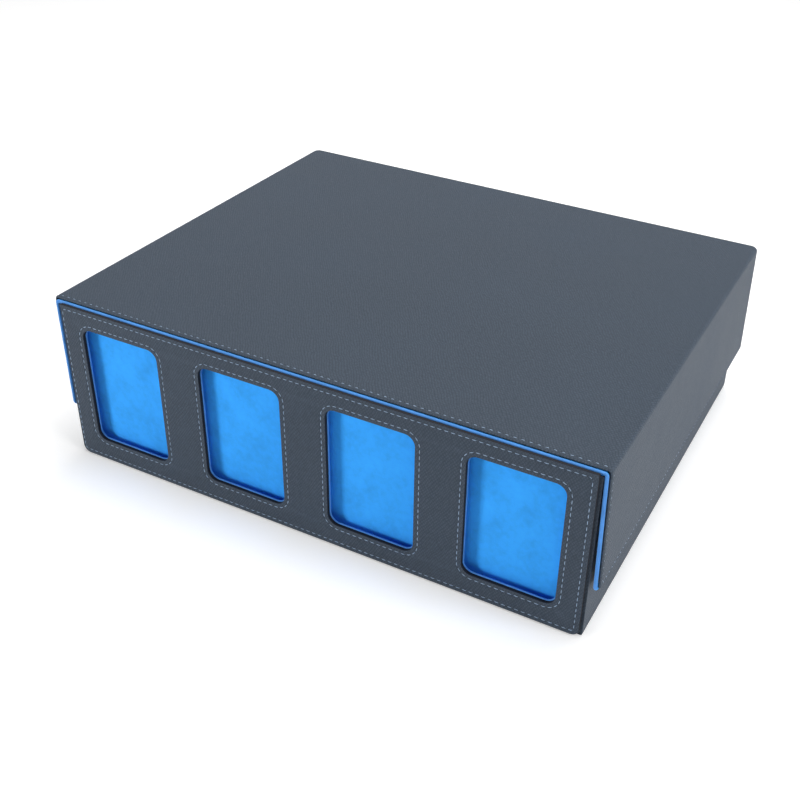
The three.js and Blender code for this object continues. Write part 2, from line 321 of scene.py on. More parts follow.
class Finish:
    """A material, or the world, under construction."""

    def __init__(self, name, family="materials"):
        self.owner = getattr(bpy.data, family).new(name)
        self.owner.use_nodes = True
        self.tree = self.owner.node_tree
        self.tree.nodes.clear()

    def node(self, kind, values=(), **settings):
        """Adds a node, makes its settings, then sets or links its inputs by place or by name."""
        node = self.tree.nodes.new(f"ShaderNode{kind}")
        for name, setting in settings.items():
            if name == "stops":
                self.set_stops(node.color_ramp, setting)
            else:
                setattr(node, name, setting)
        pairs = values.items() if isinstance(values, dict) else enumerate(values)
        for key, value in pairs:
            source = value.socket if isinstance(value, Value) else value
            if isinstance(source, bpy.types.NodeSocket):
                self.tree.links.new(source, node.inputs[key])
            else:
                node.inputs[key].default_value = source
        return node

    def set_stops(self, ramp, stops):
        while len(ramp.elements) < len(stops):
            ramp.elements.new(0.5)
        for element, (place, shade) in zip(ramp.elements, stops):
            element.position = place
            element.color = (shade, shade, shade, 1)

    def output(self, kind, values=(), **settings):
        """The first output of a new node."""
        return self.node(kind, values, **settings).outputs[0]

    def value(self, kind, values=(), **settings):
        """The first output of a new node, for use in expressions."""
        return Value(self, self.output(kind, values, **settings))

    def place(self):
        return self.node("TexCoord").outputs["Object"]

    def axes(self, vector):
        return [Value(self, socket) for socket in self.node("SeparateXYZ", (vector,)).outputs]

    def noise(self, scale, detail=2.0, roughness=0.5, stretch=None):
        place = self.place()
        if stretch:
            place = self.output("Mapping", {"Vector": place, "Scale": stretch})
        values = {"Vector": place, "Scale": scale, "Detail": detail, "Roughness": roughness}
        return self.value("TexNoise", values)

    def ramp(self, value, stops):
        return self.value("ValToRGB", (value,), stops=stops)

    def tint(self, shade, value):
        """The colour made darker or lighter by a value about 1."""
        grey = self.output("CombineXYZ", (value, value, value))
        return self.output("VectorMath", (tuple(shade), grey), operation="MULTIPLY")

    def bump(self, height, depth):
        return self.output("Bump", {"Distance": depth, "Height": height})

    def surface(self, values):
        """Ends the material in a Principled shader with these inputs."""
        self.node("OutputMaterial", (self.output("BsdfPrincipled", values),))
        return self.owner


def leather_cloth(shade):
    """Cloth embossed with a fine crossed grain that follows each face, worn a little at its folds."""
    finish = Finish("slate_leather_cloth")
    x, y, z = finish.axes(finish.place())
    geometry = finish.node("NewGeometry")
    across, _, up = finish.axes(geometry.outputs["True Normal"])
    on_side = abs(across) > FACING
    on_top = abs(up) > FACING
    along = x * (1 - on_side) + y * on_side
    rise = z * (1 - on_top) + y * on_top

    line_pitch = 1.95 * MM
    emboss_depth = 0.2 * MM
    turns = math.pi / line_pitch
    steepness = 0.7
    waver = finish.noise(60, 1.0) * 8.0 + finish.noise(240, 1.0) * 3.2
    first = abs(((along + rise * steepness) * turns + waver).sine())
    second = abs(((along - rise * steepness) * turns + waver * 0.8).sine())
    grain = first.least(second).power(0.7) * (finish.noise(420, 1.0) * 1.3 + 0.35)
    pores = finish.noise(2600, 2.0)
    undulation = finish.noise(30, 1.0)
    height = grain * 0.8 + pores * 0.3 + undulation * 1.6

    mottle = finish.noise(11, 3.0)
    worn = finish.ramp(geometry.outputs["Pointiness"], [(0.50, 0.0), (0.62, 1.0)])
    brightness = 0.58 + grain * 0.56 + mottle * 0.20 + pores * 0.16 + worn * 0.10
    base = finish.tint(shade, brightness)
    roughness = 0.50 + mottle * 0.12 - grain * 0.06 - worn * 0.06
    return finish.surface({
        "Base Color": base, "Roughness": roughness, "Specular IOR Level": 0.1,
        "Normal": finish.bump(height, emboss_depth),
    })


def microfibre(shade, name="blue_microfibre", sheen=0.12):
    """Lining with a short soft nap, brushed unevenly."""
    finish = Finish(name)
    brushed = finish.noise(260, 3.0, 0.6)
    patches = finish.noise(60, 2.0)
    fibres = finish.noise(2400, 2.0, stretch=(1.0, 1.0, 0.45))
    brightness = 0.60 + patches * 0.38 + brushed * 0.32 + fibres * 0.10
    height = fibres + brushed * 1.4
    nap_depth = 0.06 * MM
    return finish.surface({
        "Base Color": finish.tint(shade, brightness), "Roughness": 0.9,
        "Specular IOR Level": 0.15, "Sheen Weight": sheen, "Sheen Roughness": 0.4,
        "Sheen Tint": (0.55, 0.85, 1.0, 1.0),
        "Normal": finish.bump(height, nap_depth),
    })


def rubbed_microfibre(shade):
    """The lining where it turns over an edge: its colour is painted paler for a sheen highlight and darker
    for shade, and its nap catches more light.
    """
    return microfibre(shade, "rubbed_microfibre", sheen=0.3)


def edge_paint(shade):
    """Satin black paint brushed over the cut edge of a board."""
    finish = Finish("black_edge_paint")
    strokes = finish.noise(900, 3.0, stretch=(1.0, 3.0, 1.0))
    brightness = 0.75 + strokes * 0.5
    stroke_depth = 0.05 * MM
    return finish.surface({
        "Base Color": finish.tint(shade, brightness), "Roughness": 0.5 + strokes * 0.2,
        "Specular IOR Level": 0.15,
        "Normal": finish.bump(strokes, stroke_depth),
    })


def sewing_thread(shade):
    """Twisted thread, lighter where its strands stand up."""
    finish = Finish("blue_grey_thread")
    strands = finish.noise(3200, 1.0, stretch=(1.0, 0.4, 1.0))
    strand_depth = 0.08 * MM
    return finish.surface({
        "Base Color": finish.tint(shade, 0.75 + strands * 0.5), "Roughness": 0.6,
        "Sheen Weight": 0.2, "Normal": finish.bump(strands, strand_depth),
    })


def greyboard(shade):
    """Raw board of pressed pulp with darker and lighter flecks."""
    finish = Finish("raw_greyboard")
    pulp = finish.noise(700, 4.0, 0.65)
    flecks = finish.ramp(finish.noise(1500, 1.0), [(0.60, 0.0), (0.72, 1.0)])
    pulp_depth = 0.08 * MM
    return finish.surface({
        "Base Color": finish.tint(shade, 0.78 + pulp * 0.4 - flecks * 0.25), "Roughness": 0.92,
        "Normal": finish.bump(pulp, pulp_depth),
    })


# Each finish's colour, its maker and the material slot that it belongs to
MAKERS = {
    "slate_leather_cloth": ("cloth", leather_cloth, "leather_cloth"),
    "blue_microfibre": ("microfibre", microfibre, "microfibre"),
    # The lining with a sheen highlight and shade painted into its colour, for its bead and lip
    "rubbed_microfibre": ("worn_microfibre", rubbed_microfibre, "microfibre"),
    "black_edge_paint": ("edge_paint", edge_paint, "greyboard"),
    "raw_greyboard": ("greyboard", greyboard, "greyboard"),
    "blue_grey_thread": ("thread", sewing_thread, None),
}


def finish_of(name):
    """The material of this name, made at its first use."""
    found = bpy.data.materials.get(name)
    if found:
        return found
    shade, maker, _ = MAKERS[name]
    return maker(getattr(bpy.context.scene.box_finishes, shade))


# Modelling


def activate(piece):
    """Makes a piece the only selected object."""
    bpy.ops.object.select_all(action="DESELECT")
    piece.select_set(True)
    bpy.context.view_layer.objects.active = piece


@contextmanager
def editing(piece):
    """The piece in edit mode with nothing selected."""
    activate(piece)
    bpy.ops.object.mode_set(mode="EDIT")
    bpy.ops.mesh.select_all(action="DESELECT")
    yield
    bpy.ops.object.mode_set(mode="OBJECT")


def select_all():
    bpy.ops.mesh.select_all(action="SELECT")


def pick(kind, test):
    """In edit mode, selects the VERTs, EDGEs or FACEs that pass a test, and nothing else."""
    bpy.ops.mesh.select_mode(type=kind)
    bpy.ops.mesh.select_all(action="DESELECT")
    data = bpy.context.object.data
    mesh = bmesh.from_edit_mesh(data)
    mesh.normal_update()
    for part in {"VERT": mesh.verts, "EDGE": mesh.edges, "FACE": mesh.faces}[kind]:
        if test(part):
            part.select_set(True)
    mesh.select_flush_mode()
    bmesh.update_edit_mesh(data)


def remove_faces(test):
    pick("FACE", test)
    bpy.ops.mesh.delete(type="FACE")


def inset_rings(widths):
    """Insets what is selected by rings of these widths, one inside the other."""
    for width in widths:
        bpy.ops.mesh.inset(thickness=width)


def paint_faces(piece, finish, test):
    """Gives the faces of a piece that pass a test a second finish."""
    piece.data.materials.append(finish_of(finish))
    with editing(piece):
        pick("FACE", test)
        piece.active_material_index = 1
        bpy.ops.object.material_slot_assign()


def middle(edge):
    return (edge.verts[0].co + edge.verts[1].co) / 2


def within(part, **places):
    """Whether all of an edge or face lies in the given planes, such as x=0.1."""
    return all(
        abs(vert.co[AXES[axis]] - place) < TOUCH for vert in part.verts for axis, place in places.items()
    )


def add_primitive(kind, name, **settings):
    """A primitive under its name, the only object selected."""
    bpy.ops.object.select_all(action="DESELECT")
    getattr(bpy.ops.mesh, f"primitive_{kind}_add")(**settings)
    piece = bpy.context.object
    piece.name = piece.data.name = name
    return piece


def size_and_move(size, centre):
    """In edit mode, stretches what is selected about the origin, then moves it."""
    bpy.ops.transform.resize(value=size, center_override=(0, 0, 0))
    bpy.ops.transform.translate(value=centre)


def add_block(name, lo, hi):
    """A cube primitive that fills a box; its object stays at the origin."""
    piece = add_primitive("cube", name, size=1)
    with editing(piece):
        select_all()
        size_and_move(hi - lo, (lo + hi) / 2)
    return piece


def add_plate(centre, width, height):
    """In edit mode, adds an upright rectangle that faces the front."""
    bpy.ops.mesh.primitive_plane_add(size=1, rotation=(math.pi / 2, 0, 0))
    size_and_move((width, 1, height), centre)


def apply_modifier(piece, kind, **settings):
    activate(piece)
    modifier = piece.modifiers.new(kind.title(), kind)
    for name, value in settings.items():
        setattr(modifier, name, value)
    bpy.ops.object.modifier_apply(modifier=modifier.name)


def tidy_mesh(piece):
    """Merges doubles and turns the faces outwards."""
    with editing(piece):
        select_all()
        bpy.ops.mesh.remove_doubles(threshold=DOUBLES)
        bpy.ops.mesh.normals_make_consistent()


def soften(piece, width, steps, least_angle):
    """Rounds the edges of a piece that are sharper than an angle."""
    apply_modifier(
        piece, "BEVEL", width=width, segments=steps, limit_method="ANGLE", angle_limit=least_angle,
    )


def dress(piece, finish, body, node=None):
    """Gives a piece its shading, material and body, and hides the node that it replaces."""
    activate(piece)
    bpy.ops.object.shade_smooth_by_angle(angle=SMOOTH_ANGLE)
    apply_modifier(piece, "WEIGHTED_NORMAL", keep_sharp=True)
    piece.data.materials.clear()
    piece.data.materials.append(finish_of(finish))
    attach(piece, body)
    if node:
        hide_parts(node)


def round_off(offset, steps, affect):
    """Bevels the edges or the vertices that are selected."""
    bpy.ops.mesh.bevel(offset=offset, segments=steps, affect=affect, clamp_overlap=False)


def bevel_edges(offset, steps, test):
    pick("EDGE", test)
    round_off(offset, steps, "EDGES")


def bevel_corners(offset, steps, test):
    pick("VERT", test)
    round_off(offset, steps, "VERTICES")


def bevel_rear_corners(radius, rear):
    """Rounds the upright edges that lie in the plane of the rear."""
    bevel_edges(
        radius, CORNER_STEPS,
        lambda edge: within(edge, y=rear) and abs(edge.verts[0].co.z - edge.verts[1].co.z) > TOUCH,
    )


def collapse_arcs(test):
    """Turns the arcs that an inset has left tiny, among the vertices that pass a test, into corners."""
    pick("VERT", test)
    bpy.ops.mesh.remove_doubles(threshold=TINY_ARC)


def lean_lid_walls(piece):
    """Leans the lid's side walls in at the top and lifts its lower edge at the front."""
    sizes = bpy.context.scene.lid_sizes
    lo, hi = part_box("lid_outer_skin")
    bpy.ops.object.select_all(action="DESELECT")
    bpy.ops.object.add(type="LATTICE", location=(lo + hi) / 2)
    cage = bpy.context.object
    cage.scale = hi - lo
    cage.data.points_u = cage.data.points_v = cage.data.points_w = 2
    for direction in "uvw":
        setattr(cage.data, f"interpolation_type_{direction}", "KEY_LINEAR")
    bpy.context.view_layer.update()
    for point in cage.data.points:
        lift = sizes.front_lift if point.co.z < 0 and point.co.y < 0 else 0
        risen = 1 if point.co.z > 0 else lift / cage.scale.z
        lean = sizes.lean_left if point.co.x < 0 else -sizes.lean_right
        point.co_deform.x += lean * risen / cage.scale.x
        point.co_deform.z += lift / cage.scale.z
    apply_modifier(piece, "LATTICE", object=cage)
    activate(cage)
    bpy.ops.object.delete()


def softened_copy(node, name, radius, steps=SOFT_STEPS):
    """A copy of a CAD node with its doubles merged and its edges rounded."""
    source = frame["nodes"][node]
    piece = source.copy()
    piece.data = source.data.copy()
    piece.parent = None
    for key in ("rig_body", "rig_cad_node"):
        del piece[key]
    bpy.context.scene.collection.objects.link(piece)
    piece.name = piece.data.name = name
    with editing(piece):
        select_all()
        bpy.ops.mesh.remove_doubles(threshold=DOUBLES)
        select_all()
        bpy.ops.mesh.dissolve_limited(angle_limit=FLAT_ANGLE)
    soften(piece, radius, steps, SOFT_ANGLE)
    return piece


def fit_copy(node, name, radius, steps=SOFT_STEPS, finish="blue_microfibre"):
    """A softened copy that takes the place of a node of the base."""
    dress(softened_copy(node, name, radius, steps), finish, "base", node)


# Lid


def behind_free_edge(place):
    """How far a place of the lid lies behind its free front and lower edges and their round corner."""
    lo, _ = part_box("lid_outer_skin")
    radius = bpy.context.scene.lid_sizes.front_radius
    back = place.y - lo.y
    rise = place.z - lo.z
    if back < radius and rise < radius:
        return radius - math.hypot(radius - back, radius - rise)
    return min(back, rise)


def depth_of(face):
    return behind_free_edge(face.calc_center_median())


def at_front_or_foot(face):
    return face.normal.y < -SQUARE_ON or face.normal.z < -SQUARE_ON


def cover_lid():
    """The cloth over the top, the sides and the rear, rolled in behind the free edges' bead."""
    sizes = bpy.context.scene.lid_sizes
    stitches = bpy.context.scene.stitch_sizes
    lo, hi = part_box("lid_outer_skin")
    front = lo + Vector((0, sizes.bead_reach, sizes.bead_reach))
    arc = sizes.front_radius - sizes.bead_reach
    half_groove = stitches.lid_groove_width / 2
    dip_start = stitches.lid_margin - half_groove
    rolled = [sizes.roll_width, sizes.roll_width]
    rolled.append(dip_start - sizes.bead_reach - sum(rolled))
    eased_share = 0.3
    cloth = add_block("lid_cloth", front, hi)
    with editing(cloth):
        remove_faces(at_front_or_foot)
        bevel_rear_corners(sizes.corner_radius, hi.y)
        bevel_edges(
            sizes.fold_radius, FOLD_STEPS,
            lambda edge: within(edge, z=hi.z) and not within(edge, y=front.y),
        )
        bevel_corners(arc, FOLD_STEPS, lambda vert: (vert.co - front).yz.length < TOUCH)
        select_all()
        inset_rings(rolled)
        collapse_arcs(lambda vert: abs(behind_free_edge(vert.co) - dip_start) < SLACK)
        pick(
            "FACE",
            lambda face: min(behind_free_edge(vert.co) for vert in face.verts) > dip_start - SLACK,
        )
        inset_rings([half_groove, half_groove])
        dips = {
            sizes.bead_reach: sizes.roll,
            sizes.bead_reach + sizes.roll_width: sizes.roll * eased_share,
            stitches.lid_margin: stitches.groove_depth,
        }
        for behind, dip in dips.items():
            pick("VERT", lambda vert: abs(behind_free_edge(vert.co) - behind) < SLACK)
            bpy.ops.transform.shrink_fatten(value=-dip)
    apply_modifier(cloth, "SOLIDIFY", thickness=sizes.cloth, offset=-1)
    soften(cloth, sizes.cloth_arris, SOFT_STEPS, RIM_ANGLE)
    tidy_mesh(cloth)
    lean_lid_walls(cloth)
    dress(cloth, "slate_leather_cloth", "lid", "lid_outer_skin")


def line_lid():
    """The blue lining, which turns round the free edges as a bead and tucks in below the cloth."""
    sizes = bpy.context.scene.lid_sizes
    lo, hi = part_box("lid_outer_skin")
    depth = sizes.wall - sizes.bead_depth
    rim_limit = depth / 8
    inner_lo = Vector((lo.x + sizes.wall, lo.y, lo.z))
    inner_hi = hi - Vector((sizes.wall, sizes.wall, sizes.wall))
    heart = Vector((0, (lo.y + hi.y) / 2, (lo.z + hi.z) / 2))
    tuck = sizes.front_radius - sizes.tuck_short
    lining = add_block("lid_lining_cloth", inner_lo, inner_hi)
    with editing(lining):
        remove_faces(at_front_or_foot)
        bevel_edges(sizes.turn_radius, ARRIS_STEPS, lambda edge: not edge.is_boundary)
        bevel_corners(
            sizes.front_radius, CORNER_STEPS, lambda vert: (vert.co - inner_lo).yz.length < TOUCH,
        )
        pick("FACE", lambda face: True)
        inset_rings([tuck])
    apply_modifier(lining, "SOLIDIFY", thickness=depth, offset=1, use_even_offset=True)
    with editing(lining):
        pick("FACE", lambda face: depth_of(face) < rim_limit)
        bpy.ops.mesh.region_to_loop()
        round_off(sizes.bead_radius, CORNER_STEPS, "EDGES")
        remove_faces(
            lambda face: face.normal.dot(face.calc_center_median() - heart) > 0
            and depth_of(face) > tuck,
        )
        pick(
            "EDGE",
            lambda edge: edge.is_boundary and behind_free_edge(middle(edge)) > tuck - TOUCH,
        )
        bpy.ops.transform.shrink_fatten(value=-sizes.cloth)
    apply_modifier(lining, "SOLIDIFY", thickness=sizes.lining, offset=-1)
    tidy_mesh(lining)
    lean_lid_walls(lining)
    dress(lining, "blue_microfibre", "lid", "lid_lining")
    # The bead takes the lining colour with painted sheen and painted shade
    paint_faces(lining, "rubbed_microfibre", lambda face: depth_of(face) < sizes.bead_radius)


def lean_lid_boards():
    """The boards inside the lid, which lean with its walls and are cut off at its rear corners."""
    sizes = bpy.context.scene.lid_sizes
    lo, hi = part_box("lid_outer_skin")
    setback = sizes.board_setback
    inner_arc = sizes.corner_radius - sizes.cloth
    cut = sizes.cloth + inner_arc * (1 - math.sqrt(0.5)) + sizes.board_gap
    for node in ("lid_top_board", "lid_left_board", "lid_right_board", "lid_rear_board"):
        board = softened_copy(node, node.replace("board", "stiffener"), sizes.board_arris, RIM_STEPS)
        with editing(board):
            pick("VERT", lambda vert: vert.co.y < lo.y + setback)
            bpy.ops.transform.translate(value=(0, setback, 0))
            pick("VERT", lambda vert: vert.co.z < lo.z + setback)
            bpy.ops.transform.translate(value=(0, 0, setback))
            for side in (-1, 1):
                select_all()
                bpy.ops.mesh.bisect(
                    plane_co=(side * (hi.x - cut), hi.y - cut, lo.z), plane_no=(side, 1, 0),
                    use_fill=True, clear_outer=True,
                )
        tidy_mesh(board)
        lean_lid_walls(board)
        dress(board, "raw_greyboard", "lid", node)


# Base


def cover_base():
    """The cloth round the sides and the rear, with its hem turned in below the floor."""
    sizes = bpy.context.scene.base_sizes
    cloth_depth = bpy.context.scene.lid_sizes.cloth
    lo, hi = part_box("base_outer_skin")
    cloth = add_block("base_cloth", lo, hi)
    with editing(cloth):
        remove_faces(lambda face: face.normal.y < -SQUARE_ON or face.normal.z > SQUARE_ON)
        bevel_rear_corners(sizes.corner_radius, hi.y)
        bevel_edges(
            sizes.fold_radius, FOLD_STEPS,
            lambda edge: within(edge, z=lo.z) and not within(edge, y=lo.y),
        )
        arc = sizes.corner_radius - sizes.fold_radius - SLACK
        pick("FACE", lambda face: face.normal.z < -SQUARE_ON)
        bpy.ops.mesh.inset(thickness=arc)
        foot = hi.x - sizes.fold_radius - TOUCH
        collapse_arcs(lambda vert: vert.co.z < lo.z + TOUCH and abs(vert.co.x) < foot)
        half_floor = (hi.x - lo.x) * (hi.y - lo.y) / 2
        pick("FACE", lambda face: face.normal.z < -SQUARE_ON and face.calc_area() > half_floor)
        bpy.ops.mesh.inset(thickness=sizes.hem - sizes.fold_radius - arc)
        bpy.ops.mesh.delete(type="FACE")
        for side in (-1, 1):
            pick("EDGE", lambda edge: edge.is_boundary and within(edge, x=side * hi.x, y=lo.y))
            bpy.ops.mesh.extrude_region_move(
                TRANSFORM_OT_translate={"value": (-side * sizes.return_width, 0, 0)},
            )
        select_all()
        bpy.ops.mesh.normals_make_consistent()
    apply_modifier(cloth, "SOLIDIFY", thickness=cloth_depth, offset=-1)
    soften(cloth, sizes.cloth_arris, RIM_STEPS, RIM_ANGLE)
    tidy_mesh(cloth)
    dress(cloth, "slate_leather_cloth", "base", "base_outer_skin")


def finish_underside():
    """The sheet of cloth over the hem."""
    arris = bpy.context.scene.base_sizes.sheet_arris
    fit_copy("base_bottom_sheet", "underside_sheet", arris, RIM_STEPS, "slate_leather_cloth")


def line_base():
    """The tray of lining inside the base, turned out over the tops of the walls."""
    fit_copy("base_lining", "base_lining_cloth", bpy.context.scene.base_sizes.rim_radius)


def fit_partitions():
    """The covers folded over the partitions between the rows."""
    radius = bpy.context.scene.base_sizes.partition_radius
    for node in sorted(frame["nodes"]):
        if node.startswith("partition_") and node.endswith("_cover"):
            fit_copy(node, node.replace("cover", "cloth"), radius, ARRIS_STEPS)


# Front panel


def window_centres():
    """The middles of the windows in the plane of the front, from the frame's own openings."""
    openings = frame["record"]["physics"]["openings"]
    boxes = [opening["box_m"] for opening in openings if opening["name"].startswith("window_")]
    return [((lo[0] + hi[0]) / 2, (lo[2] + hi[2]) / 2) for lo, hi in boxes]


def sewn_rings(margin):
    """Widths and dips of the rings from an edge across its row of stitches, with a flat one last."""
    sizes = bpy.context.scene.stitch_sizes
    wide_share = 0.6
    wide = sizes.groove_width / 2 * wide_share
    narrow = sizes.groove_width / 2 - wide
    dip = sizes.groove_depth / 2
    flat = margin - wide - narrow
    return [(flat, 0), (wide, -dip), (narrow, -dip), (narrow, dip), (wide, dip), (sizes.flat_ring, 0)]


def on_outline(place, lo, hi, radius):
    """Whether a place lies on the panel's outline, which is round at its lower corners."""
    side = hi.x - abs(place.x)
    rise = place.z - lo.z
    if side < radius and rise < radius:
        return math.hypot(radius - side, radius - rise) > radius - TOUCH
    return min(side, rise, hi.z - place.z) < TOUCH


def windowed_sheet(name, node, lip, recess, sewn, arris):
    """A sheet of the panel with its windows drawn in by a lip, its outline set back, its edges rounded."""
    sizes = bpy.context.scene.panel_sizes
    stitches = bpy.context.scene.stitch_sizes
    lo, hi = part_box(node)
    side_recess = Vector((sizes.side_recess, 0, 0))
    lo = lo + side_recess
    hi = hi - side_recess
    plain = [(sizes.plain_ring, 0)]
    radius = sizes.corner_radius
    border = sewn_rings(stitches.border_margin) if sewn else plain
    around = sewn_rings(stitches.window_margin) if sewn else plain
    surround = sum(width for width, _ in around)
    inset = sum(width for width, _ in border)

    sheet = add_block(name, lo, hi)
    with editing(sheet):
        select_all()
        bpy.ops.mesh.delete(type="VERT")
        mid_height = (lo.z + hi.z) / 2
        add_plate((0, lo.y, mid_height), hi.x - lo.x - 2 * recess, hi.z - lo.z - 2 * recess)
        bevel_corners(radius, OUTLINE_STEPS, lambda vert: vert.co.z < mid_height)
        pick("FACE", lambda face: True)
        for width, dip in border:
            bpy.ops.mesh.inset(thickness=width, depth=dip)
        bpy.ops.mesh.delete(type="FACE")
        if sewn:
            for side, shift in ((-1, sizes.side_recess), (1, sizes.side_recess - stitches.border_shift)):
                pick(
                    "VERT",
                    lambda vert: vert.co.x * side > 0 and not on_outline(vert.co, lo, hi, radius),
                )
                bpy.ops.transform.translate(value=(side * shift, 0, 0))

        grown = surround - lip
        width = sizes.window_width + 2 * grown
        height = sizes.window_height + 2 * grown
        for x, z in window_centres():
            bpy.ops.mesh.select_mode(type="VERT")
            bpy.ops.mesh.select_all(action="DESELECT")
            add_plate((x, lo.y, z), width, height)
            round_off(sizes.window_radius + grown, WINDOW_STEPS, "VERTICES")
            pick(
                "FACE",
                lambda face: len(face.verts) > 4 and abs(face.calc_center_median().x - x) < width / 2,
            )
            for ring, dip in reversed(around):
                bpy.ops.mesh.inset(thickness=ring, depth=-dip)
        near = inset / 2
        pick(
            "EDGE",
            lambda edge: edge.is_boundary and abs(middle(edge).x) < hi.x - near
            and lo.z + near < middle(edge).z < hi.z - near,
        )
        bpy.ops.mesh.fill()
        remove_faces(lambda face: len(face.verts) >= 4 * WINDOW_STEPS)
        select_all()
        bpy.ops.mesh.normals_make_consistent()
        bpy.ops.mesh.extrude_region_move(TRANSFORM_OT_translate={"value": (0, hi.y - lo.y, 0)})
        bpy.ops.transform.resize(value=(1, 0, 1), center_override=(0, hi.y, 0))
        bevel_edges(
            arris, ARRIS_STEPS,
            lambda edge: edge.calc_face_angle(0) > RIM_ANGLE and middle(edge).y < lo.y + SLACK,
        )
    tidy_mesh(sheet)
    return sheet


def cover_panel():
    """The sewn cloth of the panel, with its edges painted black."""
    sizes = bpy.context.scene.panel_sizes
    cloth = windowed_sheet("panel_cloth", "display_panel_face", 0, 0, True, sizes.arris)
    dress(cloth, "slate_leather_cloth", "base", "display_panel_face")
    paint_faces(cloth, "black_edge_paint", lambda face: face.normal.y > -FACING)


def paint_panel_board():
    """The board behind the cloth, whose painted edges show in the windows."""
    sizes = bpy.context.scene.panel_sizes
    board = windowed_sheet(
        "panel_board", "display_panel_board", 0, sizes.board_recess, False, sizes.board_arris,
    )
    dress(board, "black_edge_paint", "base", "display_panel_board")


def back_panel():
    """The blue sheet behind the board, a thin line of which shows in each window."""
    sizes = bpy.context.scene.panel_sizes
    backing = windowed_sheet(
        "panel_backing", "display_panel_backing", sizes.lip, sizes.backing_recess, False,
        sizes.backing_arris,
    )
    # The backing's lip takes the lining colour with painted sheen and painted shade
    dress(backing, "rubbed_microfibre", "base", "display_panel_backing")


def fit_pockets():
    """The backdrop, the sill and the spacers that leave a pocket behind each window."""
    radius = bpy.context.scene.base_sizes.rim_radius / 2
    names = {"display_backdrop": "backdrop_cloth", "pocket_sill": "sill_cloth"}
    for node in sorted(frame["nodes"]):
        if node in names or node.startswith("pocket_spacer_"):
            fit_copy(node, names.get(node, f"{node}_cloth"), radius)


def finish_boards():
    """The boards inside the walls keep their CAD shape and get the look of raw greyboard."""
    for name, node in frame["nodes"].items():
        if name.endswith("_board") and not node.hide_render:
            node.data.materials.clear()
            node.data.materials.append(finish_of("raw_greyboard"))


# Stitching


def add_stitch(name, outward=(0, 0, 1)):
    """One stitch along X that bulges along an axis and dives into the cloth at both ends."""
    sizes = bpy.context.scene.stitch_sizes
    dive_share = 0.2
    sides = 6
    radius = sizes.thread / 2
    stitch = add_primitive("uv_sphere", name, segments=sides, ring_count=sides, radius=radius)
    stitch.rotation_euler = (0, math.pi / 2, 0)
    bpy.ops.object.transform_apply()
    stretch = (sizes.stitch - sizes.thread) / 2
    with editing(stitch):
        for side in (-1, 1):
            pick("VERT", lambda vert: vert.co.x * side > SLACK)
            bpy.ops.transform.translate(value=(side * stretch, 0, 0))
            bpy.ops.transform.translate(value=Vector(outward) * -dive_share * sizes.thread)
    return stitch


def run_along(stitch, pitch, path, total):
    """Repeats a stitch along a closed or open path of known length and bends the row to it."""
    count = round(total / pitch)
    apply_modifier(
        stitch, "ARRAY", count=count, use_relative_offset=False, use_constant_offset=True,
        constant_offset_displace=(total / count, 0, 0),
    )
    with editing(stitch):
        select_all()
        bpy.ops.transform.translate(value=(total / count / 2, 0, 0))
    if path:
        apply_modifier(stitch, "CURVE", object=path, deform_axis="POS_X")
        activate(path)
        bpy.ops.object.delete()


def path_of(piece):
    """Turns the edges of a flat piece into a curve that a row can follow, and measures it."""
    total = sum(
        (piece.data.vertices[edge.vertices[0]].co - piece.data.vertices[edge.vertices[1]].co).length
        for edge in piece.data.edges
    )
    activate(piece)
    bpy.ops.object.convert(target="CURVE")
    path = bpy.context.object
    path.data.dimensions = "3D"
    path.data.twist_mode = "Z_UP"
    return path, total


def rounded_path(width, height, radius):
    """A closed rounded rectangle lying in the ground plane."""
    plate = add_primitive("plane", "path", size=1)
    with editing(plate):
        select_all()
        size_and_move((width, height, 1), (0, 0, 0))
        round_off(radius, OUTLINE_STEPS, "VERTICES")
        select_all()
        bpy.ops.mesh.delete(type="ONLY_FACE")
    return path_of(plate)


def set_row(stitch, place, turn, body):
    """Turns a finished row into its plane, moves it to its place and dresses it."""
    activate(stitch)
    stitch.rotation_euler = [math.radians(degrees) for degrees in turn]
    stitch.location = place
    bpy.ops.object.transform_apply()
    if body == "lid":
        lean_lid_walls(stitch)
    dress(stitch, "blue_grey_thread", body)


def sew_panel():
    """The row round the panel and the row round each window, each sunk to half its thread."""
    sizes = bpy.context.scene.stitch_sizes
    panel = bpy.context.scene.panel_sizes
    lo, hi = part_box("display_panel_face")
    upright = (90, 0, 0)
    face = lo.y + sizes.thread / 2
    width = hi.x - lo.x - 2 * sizes.border_margin - sizes.border_shift
    height = hi.z - lo.z - 2 * sizes.border_margin
    row = add_stitch("panel_border_stitches")
    path = rounded_path(width, height, panel.corner_radius - sizes.border_margin)
    run_along(row, sizes.pitch, *path)
    set_row(row, (-sizes.border_shift / 2, face, (lo.z + hi.z) / 2), upright, "base")
    for number, (x, z) in enumerate(window_centres(), 1):
        row = add_stitch(f"window_{number}_stitches")
        path = rounded_path(
            panel.window_width + 2 * sizes.window_margin, panel.window_height + 2 * sizes.window_margin,
            panel.window_radius + sizes.window_margin,
        )
        run_along(row, sizes.pitch, *path)
        set_row(row, (x, face, z), upright, "base")


